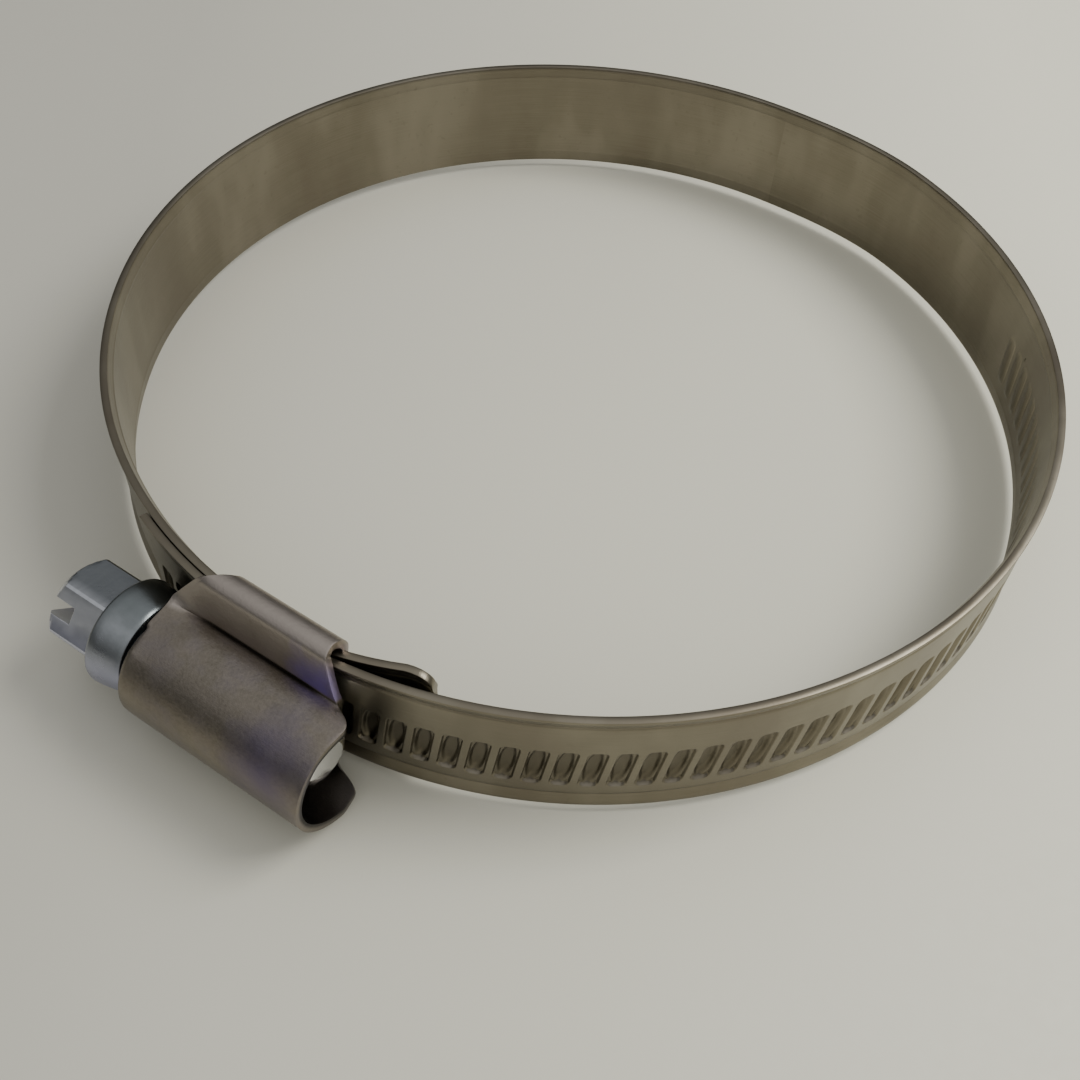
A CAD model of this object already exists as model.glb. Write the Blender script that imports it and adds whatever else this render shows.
import math

import bmesh
import bpy
import numpy as np
from mathutils import Matrix, Vector


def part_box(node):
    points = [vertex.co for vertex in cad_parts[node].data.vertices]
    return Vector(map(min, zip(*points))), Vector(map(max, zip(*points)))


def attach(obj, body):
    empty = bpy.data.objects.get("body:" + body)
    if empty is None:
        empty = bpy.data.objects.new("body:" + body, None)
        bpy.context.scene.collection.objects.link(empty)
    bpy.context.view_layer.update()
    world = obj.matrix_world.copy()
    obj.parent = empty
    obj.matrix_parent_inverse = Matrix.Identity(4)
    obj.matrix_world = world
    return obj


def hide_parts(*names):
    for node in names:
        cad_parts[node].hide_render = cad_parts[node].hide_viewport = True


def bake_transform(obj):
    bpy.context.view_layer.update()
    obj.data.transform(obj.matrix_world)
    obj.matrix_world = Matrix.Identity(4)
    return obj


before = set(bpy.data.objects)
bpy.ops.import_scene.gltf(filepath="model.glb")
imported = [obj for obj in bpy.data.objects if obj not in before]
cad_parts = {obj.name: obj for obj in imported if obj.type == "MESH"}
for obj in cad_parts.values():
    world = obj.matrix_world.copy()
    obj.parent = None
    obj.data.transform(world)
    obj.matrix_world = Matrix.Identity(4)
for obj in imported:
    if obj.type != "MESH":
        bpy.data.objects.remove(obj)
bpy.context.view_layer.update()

# Worm-drive hose clamp.  The shapes are worked out in millimetres and degrees and scaled to
# metres when a mesh is made.  The bore's axis is Z and the housing is at -Y.
MM = 0.001


# ------------------------------------------------------------------ dimensions
BAND_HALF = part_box("band_fixed_end")[1][2] / MM  # half the band's width
THICK = 0.7
BORE_MID = 42.35  # mid-thickness radius of the band on the bore
OUTER_MID = 43.1  # of the threaded end, outside the fixed end
FLARE = 0.3  # how far the band's edges stand out
FLARE_START = 4.75
FLARE_WIDTH = 1.25
FLARE_FAR = 0.25  # share of the flare that is left round the far side
FLARE_FULL, FLARE_FADE = (30.0, 60.0), (30.0, 50.0)  # degrees, without and with pockets
CREASE_WIDTH = 0.13  # of the fine groove at the flare's foot
CREASE_UPPER, CREASE_LOWER = 0.1, 0.05  # its depth
RIM = 0.13  # rounding of the band's edges

PITCH = 2.85  # degrees of band for one turn of the screw
HOUSING = -90.0
POCKET_FIRST, POCKET_LAST = -6, 45
POCKET_LEAN = math.tan(math.radians(7.5))
POCKET_Z = -1.1
POCKET_HALF = 2.4
POCKET_RADIUS = 0.82  # half the width of a pocket
POCKET_CORNER = 0.5
LENS_HALF, LENS_RADIUS = 2.5, 0.68
RECESS_DEPTH, LENS_DEPTH = 0.24, 0.34
RECESS_WALL, LENS_WALL = 0.16, 0.6  # how gently their walls fall
POCKET_BACK = 0.28  # share of the depth that shows as a bump on the inside
POCKET_BACK_LOW = 0.08  # where the threaded end can lie on the fixed one
BACK_RISE_START, BACK_RISE = -36.0, 10.0  # where the bump grows to its full height

TAIL = -109.5
TONGUE_TIP = -72.2
TONGUE_BEND = -83.5
TIP_CORNER = 1.3
TONGUE_DIP, TONGUE_KICK = 1.4, 0.5  # in towards the bore, and out again at the tip
TOP = 90.0
FIXED_HINGE = -118.0
LEFT_LINKS = 7
LEFT_STEP = (360 + FIXED_HINGE - TOP) / LEFT_LINKS
HINGE_POCKET = 19.5
LINK_POCKETS = 7
BLEND_POCKETS = 3  # a pocketed hinge bends over this many pockets on either side
RIGHT_HINGES = [HOUSING + PITCH * (HINGE_POCKET + LINK_POCKETS * n) for n in range(4)]
PLAIN_STEP = (TOP - RIGHT_HINGES[-1]) / 3
RIGHT_HINGES += [RIGHT_HINGES[-1] + PLAIN_STEP * n for n in (1, 2)]

SCREW_LOW, SCREW_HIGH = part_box("worm_screw")
AXIS_U, AXIS_Z = 46.7, -0.75  # the screw's axis
HEAD_FLATS = 7.0
HEAD_START, HEAD_END = SCREW_LOW[0] / MM, -12.0
HEAD_TURN = 48.0
SLOT_TURN = 138.0
SLOT_WIDTH, SLOT_DEPTH = 1.4, 2.4
SLOT_FLARE = 0.06  # the slot is wider at its mouth by this on either side
COLLAR_RADIUS = 4.05
COLLAR_END = -8.75
NECK_RADIUS = 2.9
WORM_START, WORM_END = -7.1, SCREW_HIGH[0] / MM
WORM_ROOT, WORM_CREST, WORM_PITCH = 3.0, 3.6, 2.15
WORM_STEP = 0.085
TOOTH_FLAT, TOOTH_FLANK = 0.2, 0.42
NOSE, NOSE_DROP = 2.4, 1.5  # length and fall of the worm's rounded end

BARREL = 5.1
SHEET = 0.66
FOLD_U, FOLD_Z, FOLD_RADIUS = 42.75, 6.25, 1.45
FOOT_Z = -6.95
BARREL_LEFT, BARREL_RIGHT = -8.0, 9.5
LOWER_TURN = -98.0  # where the lower panel meets the barrel
VALLEY = 113.0  # where the barrel meets the panel
CREASE_AWAY = np.array([0.75, 0.65])  # direction out of the crease
CREASE_GROOVE = np.array([[0.08], [0.24], [0.08]])  # its depth at three points of the section
CREASE_U, CREASE_Z = 44.66, 3.92
RIDGE_TURN = 43.0  # where the panel meets the upper fold
# the barrel's end at the head, turned in: radius, and how far in from the barrel's edge
FLANGE = [
    (3.5, 0.42),
    (4.0, 0.4),
    (4.3, 0.3),
    (4.44, 0.12),
    (4.6, 0.02),
    (4.8, 0.0),
    (4.95, 0.05),
    (5.06, 0.2),
]
SHELL_COLUMNS = 60
SECTION_STEP = 0.25  # sections are worked out this far apart and mixed in between
FLOOR_Z = FOOT_Z - 0.03

# heat tints: centre, full and zero distance in metres, strength and colour
PANEL_TINT = ((0.0064, -0.0445, 0.0044), 0.0006, 0.0036, 0.9, (0.30, 0.235, 0.66, 1))
BARREL_TINT = ((0.0062, -0.0509, 0.0018), 0.0006, 0.0046, 0.75, (0.145, 0.122, 0.205, 1))


# ------------------------------------------------------------------ small helpers
def smooth(x):
    x = np.clip(x, 0.0, 1.0)
    return x * x * (3 - 2 * x)


def mesh_object(name, points, faces, sharp=35.0, closed=True):
    """A smooth-shaded object from points in millimetres, with sharp edges where it turns."""
    mesh = bpy.data.meshes.new(name)
    mesh.from_pydata((np.asarray(points) * MM).tolist(), [], faces)
    mesh.validate()
    work = bmesh.new()
    work.from_mesh(mesh)
    if closed:
        bmesh.ops.recalc_face_normals(work, faces=work.faces)
    work.to_mesh(mesh)
    work.free()
    mesh.update()
    mesh.shade_smooth()
    mesh.set_sharp_from_angle(angle=math.radians(sharp))
    obj = bpy.data.objects.new(name, mesh)
    bpy.context.scene.collection.objects.link(obj)
    return obj


def bake(obj, sharp):
    """Applies an object's modifiers to its mesh."""
    graph = bpy.context.evaluated_depsgraph_get()
    made = bpy.data.meshes.new_from_object(obj.evaluated_get(graph))
    old = obj.data
    obj.modifiers.clear()
    obj.data = made
    made.name = obj.name
    bpy.data.meshes.remove(old)
    made.shade_smooth()
    made.set_sharp_from_angle(angle=math.radians(sharp))


def set_uv(obj, uv_of_point):
    """Writes a UV map from a function of the mesh's points, in millimetres."""
    mesh = obj.data
    points = np.array([v.co[:] for v in mesh.vertices]) / MM
    uv = uv_of_point(points)
    layer = mesh.uv_layers.new(name="UVMap")
    loops = np.array([loop.vertex_index for loop in mesh.loops])
    layer.data.foreach_set("uv", uv[loops].astype(np.float32).ravel())


def grid_faces(columns, ring, close_ring=True):
    """Quads between successive rings of points."""
    faces = []
    span = ring if close_ring else ring - 1
    for j in range(columns - 1):
        a, b = j * ring, (j + 1) * ring
        for i in range(span):
            n = (i + 1) % ring
            faces.append((a + i, a + n, b + n, b + i))
    return faces


# ------------------------------------------------------------------ band
def flare(z):
    """How far the band's edge strips stand out from the band's plane."""
    reach = (np.abs(z) - FLARE_START) / FLARE_WIDTH
    crease = np.exp(-(((np.abs(z) - FLARE_START) / CREASE_WIDTH) ** 2))
    return FLARE * smooth(reach) - np.where(z > 0, CREASE_UPPER, CREASE_LOWER) * crease


def flare_share(theta, pockets):
    """The edges stand out near the housing and are almost flat round the far side."""
    full, fade = FLARE_FULL[pockets], FLARE_FADE[pockets]
    return 1 - (1 - FLARE_FAR) * smooth((np.abs(theta - HOUSING) - full) / fade)


def pocket_depth(theta, z):
    """Depth of the pockets: a shallow oblong recess with a deeper lens in its floor."""
    index = np.clip(np.round((theta - HOUSING) / PITCH), POCKET_FIRST, POCKET_LAST)
    across = np.radians(theta - (HOUSING + PITCH * index)) * (OUTER_MID + THICK / 2)
    along = z - POCKET_Z
    beyond = np.maximum(np.abs(along) - (POCKET_HALF - POCKET_CORNER), 0)
    sideways = np.maximum(np.abs(across) - (POCKET_RADIUS - POCKET_CORNER), 0)
    recess = smooth((POCKET_CORNER - np.hypot(beyond, sideways)) / RECESS_WALL)
    lens = 1 - (across / LENS_RADIUS) ** 2 - (along / LENS_HALF) ** 2
    return RECESS_DEPTH * recess + LENS_DEPTH * smooth(lens / LENS_WALL)


def pocket_shift(theta, z):
    """Degrees that the columns lean by, so that they follow the slanted pockets."""
    first = HOUSING + PITCH * POCKET_FIRST
    last = HOUSING + PITCH * POCKET_LAST
    here = smooth((theta - TAIL) / (first - 1.0 - TAIL)) * smooth((last + 4.0 - theta) / 2.4)
    height = z - POCKET_Z
    fade = 1 - smooth((np.abs(height) - 2.6) / 1.6)
    return here * fade * np.degrees(POCKET_LEAN * height / (OUTER_MID + THICK / 2))


def section_ring(fine):
    """The band's cross-section as a closed ring of (side, z, set-back from the face)."""
    from_edge = [0.0, 0.25, 0.5, 0.75, 0.92, 1.0, 1.06, 1.12, 1.18, 1.24, 1.32, 1.5]
    edge = BAND_HALF - np.array(from_edge) - RIM
    if fine:
        tips = np.array([1.72, 1.82, 1.92, 2.02, 2.12, 2.22, 2.32, 2.42, 2.5, 2.65, 3.0])
        middle = [-1.5, -1.1, -0.6, 0, 0.6, 1.1, 1.5]
        core = np.concatenate([-tips[::-1], middle, tips]) + POCKET_Z
        above = [3.0, 3.7]  # between the pockets and the upper edge
        outer = np.sort(np.concatenate([-edge, core, above, edge]))
        inner = np.sort(np.concatenate([-edge, core[::2], above, edge]))
    else:
        outer = inner = np.sort(np.concatenate([-edge, np.linspace(-4.0, 4.0, 9), edge]))
    corner = [(0.3, 0.3), (1.0, 0.0)]  # share of the rounding back from the face and out
    ring = [(1, z, 0.0) for z in outer]
    ring += [(1, BAND_HALF - RIM * out, RIM * back) for back, out in corner]
    ring += [(-1, BAND_HALF - RIM * out, RIM * back) for back, out in corner[::-1]]
    ring += [(-1, z, 0.0) for z in inner[::-1]]
    ring += [(-1, -BAND_HALF + RIM * out, RIM * back) for back, out in corner]
    ring += [(1, -BAND_HALF + RIM * out, RIM * back) for back, out in corner[::-1]]
    return np.array(ring)


def tongue_dip(theta):
    """How far the tongue bends in towards the bore, with its tip turned out again."""
    reach = np.clip((theta - TONGUE_BEND) / (TONGUE_TIP - TONGUE_BEND), 0, 1)
    return TONGUE_DIP * reach**1.25 - TONGUE_KICK * smooth((reach - 0.72) / 0.28)


def fixed_radius(theta):
    return BORE_MID - tongue_dip(theta)


def threaded_radius(theta):
    lead = smooth((theta - RIGHT_HINGES[-1]) / (TOP - RIGHT_HINGES[-1]))
    return OUTER_MID + (BORE_MID - OUTER_MID) * lead


def strip(name, columns, radius, pockets):
    """One stretch of band along the given angles, closed at both ends."""
    ring = section_ring(pockets)
    side, z, back = ring.T
    theta = np.asarray(columns)[:, None]
    lean = pocket_shift(theta, z[None, :]) if pockets else 0.0
    angle = np.radians(theta + lean)
    height = np.broadcast_to(z, (len(columns), len(z)))
    if radius is fixed_radius:
        # the tongue's end has rounded corners
        from_tip = np.clip(np.radians(TONGUE_TIP - theta) * BORE_MID, 0, TIP_CORNER)
        cut = TIP_CORNER - np.sqrt(TIP_CORNER**2 - (TIP_CORNER - from_tip) ** 2)
        height = height * (1 - cut / BAND_HALF)
    offset = side * (THICK / 2 - back) + flare(z) * flare_share(theta, pockets)
    offset = np.broadcast_to(offset, height.shape).copy()
    if pockets:
        pit = pocket_depth(theta, height)
        rise = smooth((theta - BACK_RISE_START) / BACK_RISE)
        back_share = POCKET_BACK_LOW + (POCKET_BACK - POCKET_BACK_LOW) * rise
        offset -= pit * np.where(side > 0, 1.0, back_share)
    rho = radius(theta) + offset
    points = np.stack([rho * np.cos(angle), rho * np.sin(angle), height], axis=-1)
    faces = grid_faces(len(columns), len(z))
    faces.append(tuple(range(len(z)))[::-1])
    last = (len(columns) - 1) * len(z)
    faces.append(tuple(range(last, last + len(z))))
    obj = mesh_object(name, points.reshape(-1, 3), faces)
    # how deep each point lies in a pocket, for the dirt in there
    layer = obj.data.attributes.new("pit", "FLOAT", "POINT")
    depth = pit / (RECESS_DEPTH + LENS_DEPTH) if pockets else np.zeros(height.shape)
    layer.data.foreach_set("value", depth.astype(np.float32).ravel())

    def unrolled(p):
        turn = np.degrees(np.arctan2(p[:, 1], p[:, 0]))
        turn = np.where(turn > 180 - 1e-6, turn - 360, turn)
        if columns[0] < -180:
            turn = np.where(turn > 0, turn - 360, turn)
        return np.stack([np.radians(turn) * BORE_MID / 100, p[:, 2] / 100], axis=1)

    set_uv(obj, unrolled)
    obj.data.materials.append(MAT["band"])
    return obj


def spaced(first, last, step):
    """Angles from first to last, with a close pair at each end for even shading."""
    count = max(2, int(round((last - first) / step)))
    body = np.linspace(first, last, count + 1)
    return np.unique(np.concatenate([body, [first + 0.08, last - 0.08]]))


def pocket_columns(first, last):
    """Angles with the pockets' walls well divided, between two ridges."""
    walls = [0.2, 0.34, 0.43, 0.5, 0.56, 0.62, 0.67, 0.71, 0.75, 0.79, 0.83, 0.9]
    offsets = np.degrees(np.array([-w for w in walls[::-1]] + [0.0] + walls) / OUTER_MID)
    columns = []
    for index in range(int(math.ceil(first)), int(math.floor(last)) + 1):
        middle = HOUSING + PITCH * index
        columns += [middle - PITCH / 2] + list(middle + offsets)
    columns.append(HOUSING + PITCH * last)
    return np.array(columns)


def ride_across(obj):
    """Blends a stretch of band from one body to the next, between two angles."""
    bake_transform(obj)


def build_left():
    """The fixed end, its tongue and the ring's left side, one piece across each hinge."""
    hinges = [FIXED_HINGE - LEFT_STEP * n for n in range(LEFT_LINKS)]
    half = LEFT_STEP / 2
    for n, hinge in enumerate(hinges):
        low = TOP - 360 if n == LEFT_LINKS - 1 else hinge - half
        high = TONGUE_TIP if n == 0 else hinge + half
        columns = spaced(low, high, 0.75)
        if n == 0:
            from_tip = np.array([0, 0.03, 0.1, 0.2, 0.35, 0.55, 0.8, 1.1])
            tip = TONGUE_TIP - np.degrees(from_tip / BORE_MID)
            columns = np.unique(np.concatenate([columns[columns < tip.min()], tip]))
        obj = strip(f"band_left_{n + 1}", columns, fixed_radius, False)
        # the first hinge bends on the far side only, so that the tail above it stays clear
        ride_across(obj)
        nodes = ["band_fixed_end"] if n == 0 else [f"band_link_left_{n}"]
        if n == LEFT_LINKS - 1:
            nodes.append(f"band_link_left_{LEFT_LINKS}")
        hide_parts(*nodes)


def build_right():
    """The threaded end and the ring's right side, one piece across each hinge."""
    pieces = len(RIGHT_HINGES)
    ridges = [POCKET_FIRST - 0.5]
    ridges += [HINGE_POCKET + BLEND_POCKETS + LINK_POCKETS * n for n in range(pieces - 2)]
    ridges.append(POCKET_LAST + 0.5)
    plain_start = RIGHT_HINGES[-2] + PLAIN_STEP / 2
    for n, hinge in enumerate(RIGHT_HINGES):
        pocketed = n < pieces - 1
        if pocketed:
            columns = pocket_columns(ridges[n], ridges[n + 1])
        else:
            columns = spaced(plain_start, TOP, 0.75)
        if n == 0:
            columns = np.concatenate([spaced(TAIL, columns[0], 0.3)[:-1], columns])
        if n == pieces - 2:
            columns = np.concatenate([columns, spaced(columns[-1], plain_start, 0.6)[1:]])
        obj = strip(f"band_right_{n + 1}", columns, threaded_radius, pocketed)
        ride_across(obj)
        nodes = ["band_threaded_end"] if n == 0 else [f"band_link_right_{n}"]
        if n == pieces - 1:
            nodes.append(f"band_link_right_{n + 1}")
        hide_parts(*nodes)


# ------------------------------------------------------------------ housing
def ease(points, rounds, weight):
    """Rounds a section's corners; weight says how much at each point."""
    for _ in range(rounds):
        middle = (points[:-2] + points[2:]) / 2
        points[1:-1] += (middle - points[1:-1]) * 0.5 * weight[1:-1, None]
    return points


def line_points(a, b, count):
    t = np.linspace(0, 1, count, endpoint=False)[:, None]
    return np.array(a) * (1 - t) + np.array(b) * t


def arc_points(centre, radius, start, end, count):
    angle = np.radians(np.linspace(start, end, count, endpoint=False))
    return np.stack(
        [centre[0] + radius * np.cos(angle), centre[1] + radius * np.sin(angle)], axis=1
    )


# points in the lower return and fold, lower panel, barrel, panel, upper fold and return
SECTION_PARTS = [8, 8, 18, 110, 24, 26, 10]
PART_START = np.concatenate([[0], np.cumsum(SECTION_PARTS)])


def on_barrel(angle):
    a = math.radians(angle)
    return (AXIS_U + BARREL * math.cos(a), AXIS_Z + BARREL * math.sin(a))


def housing_section(x):
    """The sheet's outer face at one x, from the lower return round to the upper one.

    The points are (u, z), where u is the distance from the bore's axis towards -Y.
    """
    foot = (FOLD_U - 0.45, FOOT_Z)
    toe = np.array((FOLD_U + 1.15, FOOT_Z))
    ridge = arc_points((FOLD_U, FOLD_Z), FOLD_RADIUS, RIDGE_TURN, RIDGE_TURN + 1, 1)[0]
    parts = [
        line_points((41.45, -3.6), (41.45, -6.1), SECTION_PARTS[0]),
        arc_points((42.3, -6.1), 0.85, 180, 270, SECTION_PARTS[1]),
        line_points(foot, toe, SECTION_PARTS[2]),
        arc_points((AXIS_U, AXIS_Z), BARREL, LOWER_TURN, VALLEY, SECTION_PARTS[3]),
        line_points(on_barrel(VALLEY), ridge, SECTION_PARTS[4]),
        arc_points((FOLD_U, FOLD_Z), FOLD_RADIUS, RIDGE_TURN, 180, SECTION_PARTS[5]),
        line_points((FOLD_U - FOLD_RADIUS, FOLD_Z), (41.4, 3.2), SECTION_PARTS[6] - 1),
        np.array([[41.4, 3.2]]),
    ]
    # the lower panel is flat under the band and then rises to the barrel
    lower = parts[2]
    t = np.linspace(0, 1, len(lower), endpoint=False)[:, None]
    bend = 0.35
    flat = np.array(foot) + (toe - foot) * t / bend
    rise = toe + (np.array(on_barrel(LOWER_TURN)) - toe) * (t - bend) / (1 - bend)
    lower[:] = np.where(t < bend, flat, rise)
    # past the saddle the free lip curls up round the screw
    free = smooth((x - 5.2) / 2.6)
    curl = arc_points((AXIS_U, AXIS_Z), BARREL, LOWER_TURN - 26, LOWER_TURN, len(lower))
    lower += (curl - lower) * free
    points = np.concatenate(parts)
    weight = np.zeros(len(points))
    a, b = PART_START[3], PART_START[5]
    weight[a - 14 : a + 4] = 1.0
    weight[b - 5 : b + 5] = 0.6
    creased = ease(points.copy(), 5, weight)
    crease = PART_START[4]
    weight[crease - 3 : crease + 3] = 0.8
    creased = ease(creased, 2, weight)
    groove = CREASE_GROOVE * CREASE_AWAY * (1 - smooth((x - 4.8) / 2.0))
    creased[crease - 1 : crease + 2] -= groove
    # towards the head the crease runs out into one even slope
    weight[crease - 30 : b + 3] = 1.0
    even = ease(points.copy(), 160, weight)
    return even + (creased - even) * smooth((x + 8.0) / 4.0)


def piecewise(position, knots):
    """Straight interpolation between (position, value) knots."""
    xs, ys = zip(*knots)
    return np.interp(position, xs, ys)


def housing_edges():
    """The sheet's left and right ends for each point of the section."""
    count = sum(SECTION_PARTS)
    at = np.arange(count, dtype=float)
    s = PART_START.astype(float)

    def barrel_at(angle):
        return s[3] + (angle - LOWER_TURN) / (VALLEY - LOWER_TURN) * SECTION_PARTS[3]

    def fold_at(angle):
        return s[5] + (angle - RIDGE_TURN) / (180.0 - RIDGE_TURN) * SECTION_PARTS[5]

    left = piecewise(
        at,
        [
            (0, -4.6),
            (s[1], -4.8),
            (s[2], -5.2),
            (s[2] + 6, -5.8),
            (s[3], -7.6),
            (barrel_at(-75), BARREL_LEFT),
            (barrel_at(70), BARREL_LEFT),
            (barrel_at(100), -8.0),
            (s[4] + 5, -7.9),
            (s[4] + 14, -7.1),
            (s[5], -6.1),
            (fold_at(57), -5.7),
            (fold_at(89), -4.7),
            (fold_at(124), -3.7),
            (fold_at(180), -3.2),
            (count - 1, -3.0),
        ],
    )
    right = piecewise(
        at,
        [
            (0, 4.8),
            (s[1], 5.2),
            (s[2], 5.6),
            (s[2] + 6, 6.3),
            (s[2] + 9, 7.7),
            (s[2] + 12, 8.9),
            (s[3] - 2, 9.6),
            (barrel_at(-80), 9.9),
            (barrel_at(-40), 9.65),
            (barrel_at(0), BARREL_RIGHT),
            (barrel_at(60), BARREL_RIGHT),
            (barrel_at(86), 9.7),
            (barrel_at(98), 9.75),
            (barrel_at(106), 9.2),
            (s[4] - 1, 8.1),
            (s[4] + 3, 7.5),
            (s[4] + 9, 7.1),
            (s[4] + 16, 6.7),
            (s[5], 6.3),
            (fold_at(90), 6.1),
            (fold_at(124), 6.2),
            (fold_at(180), 6.3),
            (count - 1, 6.0),
        ],
    )
    kernel = np.array([1, 2, 3, 2, 1]) / 9.0
    for edge in (left, right):
        padded = np.pad(edge, 2, mode="edge")
        edge[:] = np.convolve(padded, kernel, mode="valid")
    return left, right


def build_housing():
    """The pressed sheet: its outer face as a grid, then thickened inwards."""
    left, right = housing_edges()
    count = len(left)
    at = np.arange(count)
    barrel_share = smooth((at - PART_START[3] + 2) / 8.0) * smooth(
        (PART_START[4] - 16 - at) / 8.0
    )
    points = []
    edge_sections = [housing_section(x)[i] for i, x in enumerate(left)]
    for n, (radius, inset) in enumerate(FLANGE):
        plain = 0.05 * n  # off the barrel the edge isn't turned in
        row = np.zeros((count, 3))
        for i in range(count):
            x = left[i] + plain + (inset - plain) * barrel_share[i]
            u, z = edge_sections[i]
            du, dz = u - AXIS_U, z - AXIS_Z
            length = math.hypot(du, dz)
            target = 1 - barrel_share[i] * (1 - radius / BARREL)
            shrink = min(1.0, target) if length < BARREL * 1.2 else 1.0
            row[i] = (x, -(AXIS_U + du * shrink), AXIS_Z + dz * shrink)
        points.append(row)
    first_inset = 0.45
    sections = {}
    for t in np.linspace(0, 1, SHELL_COLUMNS):
        row = np.zeros((count, 3))
        x_all = left + first_inset + (right - left - first_inset) * t
        for i in range(count):
            low = math.floor(x_all[i] / SECTION_STEP) * SECTION_STEP
            high = low + SECTION_STEP
            for k in (low, high):
                if k not in sections:
                    sections[k] = housing_section(k)
            mix = (x_all[i] - low) / SECTION_STEP
            u, z = sections[low][i] * (1 - mix) + sections[high][i] * mix
            row[i] = (x_all[i], -u, z)
        points.append(row)
    grid = np.array(points)
    faces = grid_faces(len(grid), count, close_ring=False)
    faces = [face[::-1] for face in faces]
    obj = mesh_object("housing_shell", grid.reshape(-1, 3), faces, sharp=40, closed=False)
    solid = obj.modifiers.new("sheet", "SOLIDIFY")
    solid.thickness = SHEET * MM
    solid.offset = -1
    solid.use_even_offset = False
    solid.use_rim = True
    bevel = obj.modifiers.new("burr", "BEVEL")
    bevel.width = 0.12 * MM
    bevel.segments = 2
    bevel.limit_method = "ANGLE"
    bevel.angle_limit = math.radians(50)
    bake(obj, sharp=50)

    def unrolled(p):
        turn = np.arctan2(p[:, 2] - AXIS_Z, -p[:, 1] - AXIS_U)
        return np.stack([p[:, 0] / 100, turn * BARREL / 100], axis=1)

    set_uv(obj, unrolled)
    obj.data.materials.append(MAT["housing"])
    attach(obj, "housing")
    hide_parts("housing")


# ------------------------------------------------------------------ screw
def to_screw(x, radius, angle):
    """Points round the screw's axis; the angle goes from +Y towards +Z."""
    return np.stack(
        [x, -AXIS_U + radius * np.cos(angle), AXIS_Z + radius * np.sin(angle)], axis=-1
    )


def lathe(name, xs, radius_of, steps, sharp):
    """A closed solid round the screw's axis with radius_of(x, angle)."""
    angle = np.radians(steps)
    x = np.asarray(xs)[:, None]
    radius = radius_of(x, angle[None, :])
    points = to_screw(np.broadcast_to(x, radius.shape), radius, angle[None, :])
    points = points.reshape(-1, 3).tolist()
    ring, rows = len(angle), len(xs)
    faces = grid_faces(rows, ring)
    faces = [face[::-1] for face in faces]
    faces.append(tuple(range(ring)))
    last = (rows - 1) * ring
    faces.append(tuple(range(last, last + ring))[::-1])
    return mesh_object(name, points, faces, sharp)


def hexagon(angle):
    """Distance from the axis to the hexagon's outline, with slightly rounded corners."""
    turn = np.radians(HEAD_TURN)
    step = math.pi / 3
    from_corner = (angle - turn + step / 2) % step - step / 2
    flat = HEAD_FLATS / 2 / np.cos(step / 2 - np.abs(from_corner))
    return np.minimum(flat, HEAD_FLATS / 2 / math.cos(step / 2) - 0.07)


def build_head():
    """The hexagon with its chamfer and the driver slot."""
    corners = np.arange(6) * 60.0 + HEAD_TURN
    near = [-3.0, -2.0, -1.2, 0.0, 1.2, 2.0, 3.0, 10.0, 20.0, 30.0, 40.0, 50.0]
    steps = np.unique(np.round(np.concatenate([corners + n for n in near]) % 360, 4))
    chamfer = [0.0, 0.12, 0.24, 0.34, 0.44, 0.54, 0.64, 0.74, 0.86, 1.0]
    xs = HEAD_START + np.array(chamfer + [2.0, HEAD_END - HEAD_START + 0.3])

    def radius_of(x, angle):
        depth = np.minimum(x - HEAD_START, 1.5)
        cone = HEAD_FLATS / 2 - 0.42 + 1.3 * depth - 0.3 * depth**2
        return np.minimum(hexagon(angle) + 0 * x, cone)

    head = lathe("screw_head", xs, radius_of, steps, 25)
    a = math.radians(SLOT_TURN)
    along = np.array([0.0, math.cos(a), math.sin(a)])
    across = np.array([0.0, -math.sin(a), math.cos(a)])
    axial = np.array([1.0, 0.0, 0.0])
    centre = np.array([HEAD_START, -AXIS_U, AXIS_Z])
    corners = []
    for i in (-1, 1):
        for j in (-1, 1):
            for k in (-1, 1):
                corners.append(
                    centre
                    + axial * (SLOT_DEPTH if i > 0 else -2.0)
                    + across * (SLOT_WIDTH / 2 + (SLOT_FLARE if i < 0 else 0)) * j
                    + along * 7.0 * k
                )
    box_faces = [
        (0, 1, 3, 2),
        (4, 6, 7, 5),
        (0, 4, 5, 1),
        (2, 3, 7, 6),
        (0, 2, 6, 4),
        (1, 5, 7, 3),
    ]
    cutter = mesh_object("slot_cutter", corners, box_faces)
    cut = head.modifiers.new("slot", "BOOLEAN")
    cut.operation = "DIFFERENCE"
    cut.object = cutter
    cut.solver = "EXACT"
    bevel = head.modifiers.new("wear", "BEVEL")
    bevel.width = 0.07 * MM
    bevel.segments = 2
    bevel.limit_method = "ANGLE"
    bevel.angle_limit = math.radians(35)
    bake(head, sharp=15)
    bpy.data.objects.remove(cutter)
    return head


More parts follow.
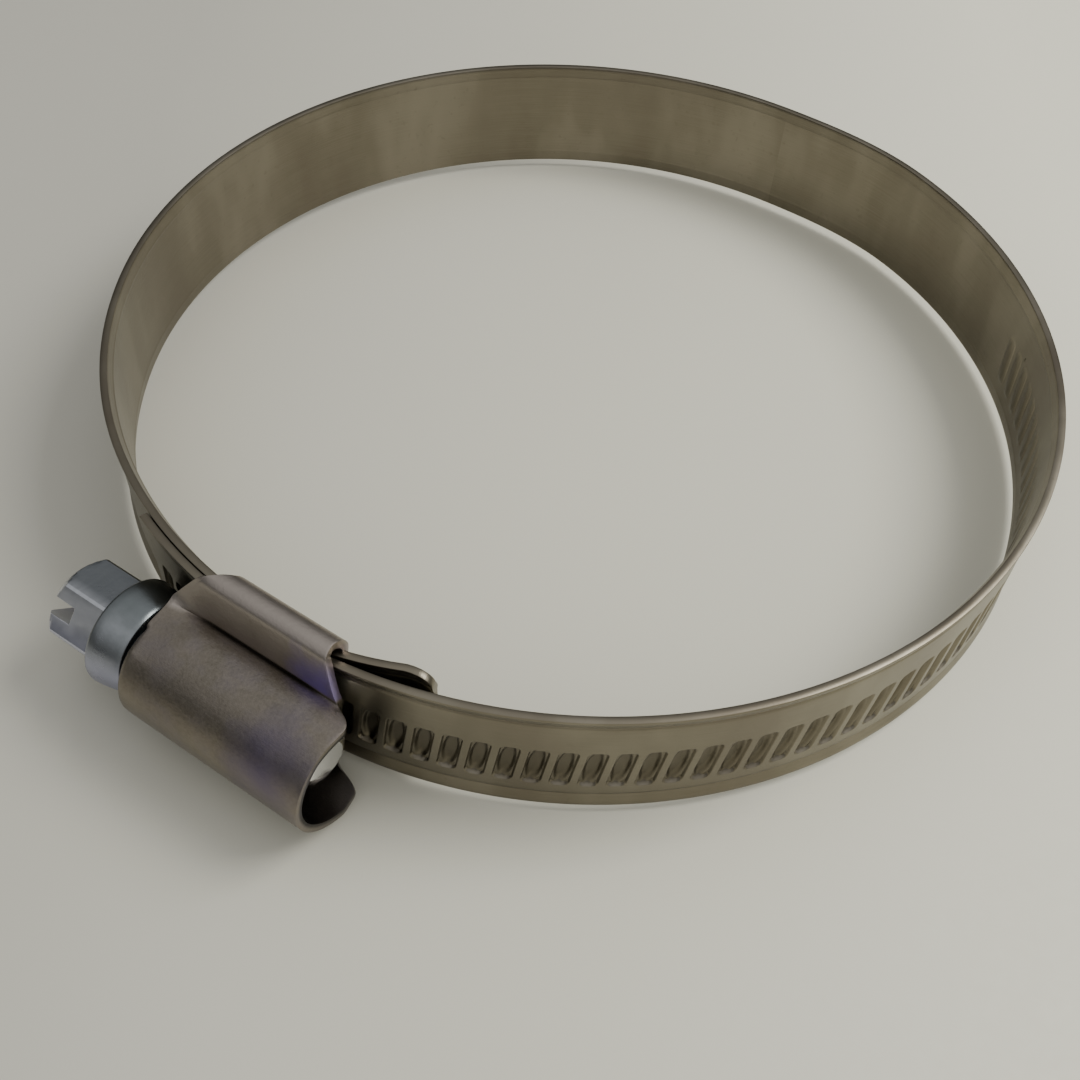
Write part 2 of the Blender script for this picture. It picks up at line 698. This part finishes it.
def build_shank():
    """Collar, neck and worm."""
    collar = [
        (HEAD_END, 3.2),
        (HEAD_END + 0.02, COLLAR_RADIUS + 0.3),
        (HEAD_END + 0.06, COLLAR_RADIUS + 0.44),
        (HEAD_END + 0.16, COLLAR_RADIUS + 0.54),
        (HEAD_END + 0.32, COLLAR_RADIUS + 0.58),
        (HEAD_END + 1.0, COLLAR_RADIUS + 0.5),
        (HEAD_END + 1.9, COLLAR_RADIUS + 0.32),
        (COLLAR_END - 0.5, COLLAR_RADIUS + 0.16),
        (COLLAR_END - 0.12, COLLAR_RADIUS + 0.04),
        (COLLAR_END - 0.03, COLLAR_RADIUS - 0.08),
        (COLLAR_END, NECK_RADIUS + 0.2),
        (COLLAR_END + 0.15, NECK_RADIUS),
        (WORM_START - 0.05, NECK_RADIUS),
    ]
    collar_x, collar_r = np.array(collar).T
    tip_x = WORM_END - np.array([0.16, 0.09, 0.04, 0.01, 0.0])
    worm_x = np.arange(WORM_START, WORM_END, WORM_STEP)
    worm_x = worm_x[worm_x < tip_x[0] - 0.04]
    xs = np.concatenate([collar_x, worm_x, tip_x])
    steps = np.arange(0, 360, 3.0)

    def radius_of(x, angle):
        plain = np.interp(x, collar_x, collar_r)
        phase = x / WORM_PITCH - angle / (2 * math.pi)
        from_tooth = np.abs(phase - np.round(phase)) * WORM_PITCH
        tooth = 1 - smooth((from_tooth - TOOTH_FLAT) / TOOTH_FLANK)
        fade = smooth((WORM_END - 1.2 - x) / 1.8) * smooth((x - WORM_START) / 0.6 + 0.3)
        worm = WORM_ROOT + (WORM_CREST - WORM_ROOT) * tooth * fade
        left = np.clip((WORM_END - x) / NOSE, 0, 1)
        nose = WORM_ROOT - NOSE_DROP + NOSE_DROP * np.sqrt(1 - (1 - left) ** 2)
        worm = np.where(x > WORM_END - NOSE, nose + (worm - WORM_ROOT), worm)
        return np.where(x < WORM_START - 0.01, plain + 0 * angle, worm)

    return lathe("screw_shank", xs, radius_of, steps, 40)


def build_screw():
    for piece in (build_head(), build_shank()):

        def unrolled(p):
            turn = np.arctan2(p[:, 2] - AXIS_Z, p[:, 1] + AXIS_U)
            return np.stack([p[:, 0] / 100, turn * HEAD_FLATS / 200], axis=1)

        set_uv(piece, unrolled)
        piece.data.materials.append(MAT["screw"])
        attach(piece, "screw")
        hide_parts("worm_screw")


# ------------------------------------------------------------------ materials
BUMP_DISTANCE = 0.0001


class Nodes:
    """A short way to write a material's nodes."""

    def __init__(self, name):
        self.material = bpy.data.materials.new(name)
        self.material.use_nodes = True
        self.tree = self.material.node_tree
        self.tree.nodes.clear()

    def add(self, kind, values=None, **settings):
        node = self.tree.nodes.new(kind)
        for key, value in settings.items():
            setattr(node, key, value)
        for key, value in (values or {}).items():
            if isinstance(value, bpy.types.NodeSocket):
                self.tree.links.new(value, node.inputs[key])
            else:
                node.inputs[key].default_value = value
        return node

    def noise(self, vector, scale, detail, rough):
        values = {
            "Vector": vector,
            "Scale": scale,
            "Detail": detail,
            "Roughness": rough,
        }
        return self.add("ShaderNodeTexNoise", values).outputs["Fac"]

    def scaled(self, vector, scale, move=(0, 0, 0)):
        values = {"Vector": vector, "Scale": scale, "Location": move}
        return self.add("ShaderNodeMapping", values).outputs["Vector"]

    def remap(self, value, low, high, to_low, to_high):
        values = {
            "Value": value,
            "From Min": low,
            "From Max": high,
            "To Min": to_low,
            "To Max": to_high,
        }
        return self.add("ShaderNodeMapRange", values).outputs["Result"]

    def math(self, operation, a, b):
        node = self.add("ShaderNodeMath", {0: a, 1: b}, operation=operation)
        return node.outputs["Value"]

    def mix(self, factor, a, b):
        # inputs 6 and 7 and output 2 are the colour ones of this node
        node = self.add("ShaderNodeMix", data_type="RGBA")
        for index, value in ((0, factor), (6, a), (7, b)):
            if isinstance(value, bpy.types.NodeSocket):
                self.tree.links.new(value, node.inputs[index])
            else:
                node.inputs[index].default_value = value
        return node.outputs[2]

    def from_axis(self, place, u, z, operation):
        """Distance or direction from a line along X, at u and z in millimetres."""
        offset = self.scaled(place, (0, 1, 1), (0, u * MM, -z * MM))
        return self.add("ShaderNodeVectorMath", {0: offset}, operation=operation).outputs

    def surface(self, color, roughness, height, bump, metallic=1.0):
        relief = {"Height": height, "Strength": bump, "Distance": BUMP_DISTANCE}
        normal = self.add("ShaderNodeBump", relief).outputs["Normal"]
        shader = self.add(
            "ShaderNodeBsdfPrincipled",
            {
                "Base Color": color,
                "Roughness": roughness,
                "Metallic": metallic,
                "Normal": normal,
            },
        )
        out = self.add("ShaderNodeOutputMaterial")
        self.tree.links.new(shader.outputs["BSDF"], out.inputs["Surface"])
        return self.material


def band_material():
    n = Nodes("rolled_stainless")
    darker, lighter = (0.170, 0.152, 0.110, 1), (0.218, 0.196, 0.147, 1)
    streaked, specked = (0.26, 0.237, 0.187, 1), (0.16, 0.14, 0.10, 1)
    stained, rubbed = (0.150, 0.126, 0.094, 1), (0.29, 0.262, 0.208, 1)
    dirt = (0.075, 0.064, 0.044, 1)
    uv = n.add("ShaderNodeTexCoord").outputs["UV"]
    place = n.add("ShaderNodeTexCoord").outputs["Object"]
    streak = n.noise(n.scaled(uv, (14, 900, 1)), 1.0, 5.0, 0.65)
    fine = n.noise(n.scaled(uv, (60, 4200, 1)), 1.0, 3.0, 0.6)
    cloud = n.noise(place, 70.0, 4.0, 0.6)
    speck = n.noise(place, 1500.0, 2.0, 0.5)
    stain = n.noise(n.scaled(uv, (8, 3, 1)), 1.0, 3.0, 0.6)
    tone = n.mix(n.remap(cloud, 0.35, 0.65, 0, 1), darker, lighter)
    tone = n.mix(n.remap(streak, 0.3, 0.7, 0.0, 0.55), tone, streaked)
    tone = n.mix(n.remap(stain, 0.46, 0.64, 0.0, 0.5), tone, stained)
    tone = n.mix(n.remap(stain, 0.50, 0.36, 0.0, 0.6), tone, rubbed)
    tone = n.mix(n.remap(speck, 0.62, 0.76, 0.0, 0.3), tone, specked)
    pit = n.add("ShaderNodeAttribute", attribute_name="pit").outputs["Fac"]
    tone = n.mix(n.remap(pit, 0.1, 0.8, 0.0, 0.55), tone, dirt)
    rough = n.remap(cloud, 0.3, 0.7, 0.27, 0.37)
    rough = n.math("ADD", rough, n.remap(fine, 0.2, 0.8, -0.04, 0.06))
    height = n.math("ADD", n.math("MULTIPLY", streak, 0.6), n.math("MULTIPLY", fine, 0.5))
    return n.surface(tone, rough, height, 0.16)


def housing_material():
    n = Nodes("pressed_stainless")
    darker, lighter = (0.150, 0.134, 0.106, 1), (0.238, 0.208, 0.170, 1)
    patched, grained = (0.225, 0.20, 0.228, 1), (0.31, 0.278, 0.236, 1)
    greasy, rubbed = (0.022, 0.020, 0.018, 1), (0.42, 0.375, 0.335, 1)
    shaded, dirty = (0.10, 0.088, 0.08, 1), (0.035, 0.03, 0.025, 1)
    uv = n.add("ShaderNodeTexCoord").outputs["UV"]
    place = n.add("ShaderNodeTexCoord").outputs["Object"]
    across = n.add("ShaderNodeSeparateXYZ", {0: place}).outputs
    cloud = n.noise(place, 180.0, 4.0, 0.6)
    grain = n.noise(place, 3600.0, 4.0, 0.7)
    patch = n.noise(n.scaled(place, (1, 1, 1), (0.031, 0.017, 0.005)), 330.0, 3.0, 0.6)
    draw = n.noise(n.scaled(uv, (40, 1500, 1)), 1.0, 3.0, 0.6)
    tone = n.mix(n.remap(cloud, 0.3, 0.7, 0, 1), darker, lighter)
    tone = n.mix(n.remap(patch, 0.45, 0.7, 0.0, 0.5), tone, patched)
    tone = n.mix(n.remap(grain, 0.3, 0.7, 0.0, 0.5), tone, grained)
    # the inside of the barrel is dark with grease
    depth = n.from_axis(place, AXIS_U, AXIS_Z, "LENGTH")["Value"]
    inner, outer = (BARREL - 0.75 * SHEET) * MM, (BARREL - 0.4 * SHEET) * MM
    tone = n.mix(n.remap(depth, inner, outer, 0.92, 0.0), tone, greasy)
    # the panel and the fold are lighter, the barrel's underside darker
    panel = n.remap(depth, (BARREL + 0.14) * MM, (BARREL + 0.36) * MM, 0.0, 1.0)
    tone = n.mix(n.math("MULTIPLY", panel, 0.85), tone, rubbed)
    tone = n.mix(n.remap(across["Z"], -0.0026, -0.0050, 0.0, 0.55), tone, shaded)
    # dirt lies in the crease, which runs out towards the head
    crease = n.from_axis(place, CREASE_U, CREASE_Z, "LENGTH")["Value"]
    dirt = n.remap(crease, 0.00006, 0.00024, 0.7, 0.0)
    dirt = n.math("MULTIPLY", dirt, n.remap(across["X"], -0.0062, -0.0035, 0.0, 1.0))
    tone = n.mix(dirt, tone, dirty)
    # heat tint at the corner of the panel and on the barrel's outer side
    barrel = n.math("SUBTRACT", 1.0, panel)
    wave = n.remap(cloud, 0.3, 0.7, -0.0012, 0.0012)
    for part, (spot, near, far, amount, tint) in ((panel, PANEL_TINT), (barrel, BARREL_TINT)):
        offset = n.add("ShaderNodeVectorMath", {0: place, 1: spot}, operation="DISTANCE")
        wavy = n.math("ADD", offset.outputs["Value"], wave)
        share = n.math("MULTIPLY", part, n.remap(wavy, near, far, amount, 0.0))
        tone = n.mix(share, tone, tint)
    rough = n.remap(patch, 0.3, 0.7, 0.33, 0.43)
    rough = n.math("ADD", rough, n.remap(grain, 0.2, 0.8, -0.05, 0.05))
    height = n.math("ADD", n.math("MULTIPLY", grain, 0.8), n.math("MULTIPLY", draw, 0.3))
    return n.surface(tone, rough, height, 0.3)


def screw_material():
    n = Nodes("bright_zinc")
    darker, lighter = (0.66, 0.685, 0.73, 1), (0.80, 0.82, 0.86, 1)
    dulled, duller = (0.245, 0.265, 0.28, 1), (0.15, 0.168, 0.17, 1)
    bluish, bright = (0.42, 0.43, 0.62, 1), (0.95, 0.95, 0.95, 1)
    place = n.add("ShaderNodeTexCoord").outputs["Object"]
    along = n.add("ShaderNodeSeparateXYZ", {0: place}).outputs["X"]
    cloud = n.noise(place, 300.0, 4.0, 0.6)
    grain = n.noise(place, 3200.0, 3.0, 0.6)
    ring = n.noise(n.scaled(place, (2600, 120, 120)), 1.0, 2.0, 0.5)
    tone = n.mix(n.remap(cloud, 0.35, 0.65, 0, 1), darker, lighter)
    # the plating is duller on the upper side
    radial = n.from_axis(place, AXIS_U, AXIS_Z, "NORMALIZE")["Vector"]
    dull = n.add("ShaderNodeVectorMath", {0: radial, 1: (0, 0.30, 0.95)}, operation="DOT_PRODUCT")
    tone = n.mix(n.remap(dull.outputs["Value"], 0.72, 0.93, 0.0, 0.95), tone, dulled)
    # the collar is duller still
    collar = n.remap(along, -0.0123, -0.0119, 0.0, 1.0)
    collar = n.math("MULTIPLY", collar, n.remap(cloud, 0.3, 0.7, 0.65, 0.95))
    tone = n.mix(collar, tone, duller)
    # faintly blue on the side away from the ring
    blue = n.add("ShaderNodeVectorMath", {0: radial, 1: (0, -0.95, -0.30)}, operation="DOT_PRODUCT")
    tone = n.mix(n.remap(blue.outputs["Value"], 0.55, 1.0, 0.0, 0.7), tone, bluish)
    # and the worm's tip is worn bright and smooth
    worn = n.remap(along, 0.0055, 0.0068, 0.0, 1.0)
    tone = n.mix(worn, tone, bright)
    rough = n.remap(cloud, 0.3, 0.7, 0.24, 0.40)
    rough = n.math("MULTIPLY", rough, n.remap(worn, 0, 1, 1.0, 0.5))
    height = n.math("ADD", n.math("MULTIPLY", grain, 0.5), n.math("MULTIPLY", ring, 0.4))
    return n.surface(tone, rough, height, 0.2)


def floor_material():
    n = Nodes("pale_table")
    greyer, warmer = (0.61, 0.595, 0.51, 1), (0.99, 0.97, 0.79, 1)
    place = n.add("ShaderNodeTexCoord").outputs["Object"]
    broad = n.noise(place, 7.0, 3.0, 0.5)
    fine = n.noise(place, 900.0, 3.0, 0.6)
    # the table gets lighter from the left to the right of the photograph
    turn = math.radians(CAMERA_AZIMUTH)
    aside = (math.cos(turn), math.sin(turn), 0.0)
    across = n.add("ShaderNodeVectorMath", {0: place, 1: aside}, operation="DOT_PRODUCT")
    across = n.math("ADD", across.outputs["Value"], n.remap(broad, 0.3, 0.7, -0.01, 0.01))
    tone = n.mix(n.remap(across, -0.05, 0.055, 0, 1), greyer, warmer)
    rough = n.remap(fine, 0.3, 0.7, 0.5, 0.62)
    return n.surface(tone, rough, fine, 0.03, metallic=0.0)


# ------------------------------------------------------------------ camera, floor and light
FRAME_PIXELS = 1080
CAMERA_FOCAL = 1250.2  # in pixels of that frame
CAMERA_ELEVATION, CAMERA_AZIMUTH, CAMERA_ROLL = 50.45, 30.54, 4.26
CAMERA_DISTANCE = 105.02
CAMERA_TARGET = (-2.41, -22.54)
FLOOR_HALF = 2500.0
WINDOW_PLACE, WINDOW_AIM = (0.26, 0.04, 0.32), (0.02, 0, 0)  # in metres, turned as the camera
WINDOW_SIZE, WINDOW_POWER, WINDOW_COLOR = 0.2, 1.0, (1, 0.985, 0.95)
SKY_TOWARDS = (0.18, -0.16, 0.95)  # the brightest direction
SKY_LOW, SKY_HIGH = 0.10, 0.90
SKY_COLOR = (0.86, 0.86, 0.87, 1)


def build_camera():
    data = bpy.data.cameras.new("camera")
    data.sensor_width = 36.0
    data.lens = CAMERA_FOCAL / FRAME_PIXELS * data.sensor_width
    data.clip_start, data.clip_end = 0.005, 10.0
    camera = bpy.data.objects.new("camera", data)
    bpy.context.scene.collection.objects.link(camera)
    el, roll = math.radians(CAMERA_ELEVATION), math.radians(CAMERA_ROLL)
    forward = Vector((0, math.cos(el), -math.sin(el)))
    right = Vector((1, 0, 0))
    up = right.cross(forward)
    r = math.cos(roll) * right + math.sin(roll) * up
    u = -math.sin(roll) * right + math.cos(roll) * up
    position = Vector((*CAMERA_TARGET, 0)) - CAMERA_DISTANCE * forward
    spin = Matrix.Rotation(math.radians(CAMERA_AZIMUTH), 3, "Z")
    basis = Matrix((r, u, -forward)).transposed()
    camera.matrix_world = Matrix.Translation(spin @ position * MM) @ (spin @ basis).to_4x4()
    bpy.context.scene.camera = camera


def build_floor():
    count = 12
    side = np.linspace(-FLOOR_HALF, FLOOR_HALF, count)
    points = [(x, y, FLOOR_Z) for x in side for y in side]
    faces = [face[::-1] for face in grid_faces(count, count, close_ring=False)]
    floor = mesh_object("floor", points, faces, closed=False)
    floor.data.materials.append(floor_material())


def build_light():
    """One soft window at the side and a room that is brightest overhead."""
    spin = Matrix.Rotation(math.radians(CAMERA_AZIMUTH), 3, "Z")
    data = bpy.data.lights.new("side_window", "AREA")
    data.shape = "RECTANGLE"
    data.size = data.size_y = WINDOW_SIZE
    data.energy = WINDOW_POWER
    data.color = WINDOW_COLOR
    window = bpy.data.objects.new("side_window", data)
    window.location = spin @ Vector(WINDOW_PLACE)
    aim = spin @ Vector(WINDOW_AIM) - spin @ Vector(WINDOW_PLACE)
    window.rotation_euler = aim.to_track_quat("-Z", "Y").to_euler()
    bpy.context.scene.collection.objects.link(window)
    world = bpy.data.worlds.new("room")
    bpy.context.scene.world = world
    world.use_nodes = True
    tree = world.node_tree
    direction = tree.nodes.new("ShaderNodeTexCoord").outputs["Generated"]
    towards = tree.nodes.new("ShaderNodeVectorMath")
    towards.operation = "DOT_PRODUCT"
    towards.inputs[1].default_value = spin @ Vector(SKY_TOWARDS).normalized()
    tree.links.new(direction, towards.inputs[0])
    spread = tree.nodes.new("ShaderNodeMapRange")
    spread.interpolation_type = "SMOOTHSTEP"
    spread.inputs["From Min"].default_value = 0.0
    spread.inputs["From Max"].default_value = 1.0
    spread.inputs["To Min"].default_value = SKY_LOW
    spread.inputs["To Max"].default_value = SKY_HIGH
    tree.links.new(towards.outputs["Value"], spread.inputs["Value"])
    background = tree.nodes["Background"]
    background.inputs["Color"].default_value = SKY_COLOR
    tree.links.new(spread.outputs["Result"], background.inputs["Strength"])


MAT = {"band": band_material(), "housing": housing_material(), "screw": screw_material()}
build_left()
build_right()
build_housing()
build_screw()
build_camera()
build_floor()
build_light()

bpy.context.view_layer.update()
